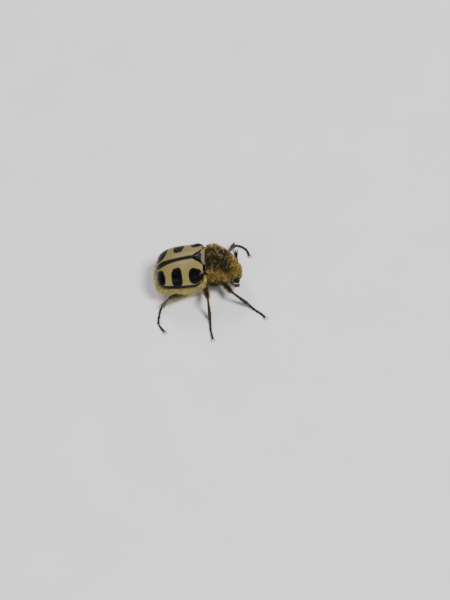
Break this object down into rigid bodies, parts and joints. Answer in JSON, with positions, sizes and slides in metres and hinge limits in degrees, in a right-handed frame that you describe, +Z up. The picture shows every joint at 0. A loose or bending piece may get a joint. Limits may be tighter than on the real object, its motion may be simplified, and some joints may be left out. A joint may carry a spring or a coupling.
{
  "type": "bee chafer beetle model",
  "caption": "Life-size still model of a bee chafer standing on a floor, with striped wing cases, a furry coat, spread feelers and splayed legs.",
  "frame": {"origin": "on the floor under the middle of the box of the whole beetle, which is about 1.15 mm to the beetle's right of its midline", "axes": "+Z up from the floor, -Y the way the head points, +X the beetle's left side"},
  "size_m": [0.0144, 0.0129, 0.0056],
  "materials": {
    "wing_case": "waxy, cream with black marks",
    "shell": "black, satin, finely pitted",
    "coat": "dense soft fur, golden tan to cream",
    "eye": "glossy black",
    "feeler": "satin dark brown"
  },
  "bodies": {
    "root": {"prothorax": "coat", "metathorax": "coat", "abdomen": "coat", "pygidium": "coat", "scutellum": "shell", "wing_case_left": "wing_case", "wing_case_right": "wing_case", "head": "shell", "eye_left": "eye", "eye_right": "eye", "feeler_left": "feeler", "feeler_right": "feeler", "mouthparts": "feeler", "femur_front_left": "shell", "femur_front_right": "shell", "femur_mid_left": "shell", "femur_mid_right": "shell", "femur_hind_left": "shell", "femur_hind_right": "shell", "tibia_front_left": "shell", "tibia_front_right": "shell", "tibia_mid_left": "shell", "tibia_mid_right": "shell", "tibia_hind_left": "shell", "tibia_hind_right": "shell", "tarsus_front_left": "shell", "tarsus_front_right": "shell", "tarsus_mid_left": "shell", "tarsus_mid_right": "shell", "tarsus_hind_left": "shell", "tarsus_hind_right": "shell"}
  },
  "joints": []
}
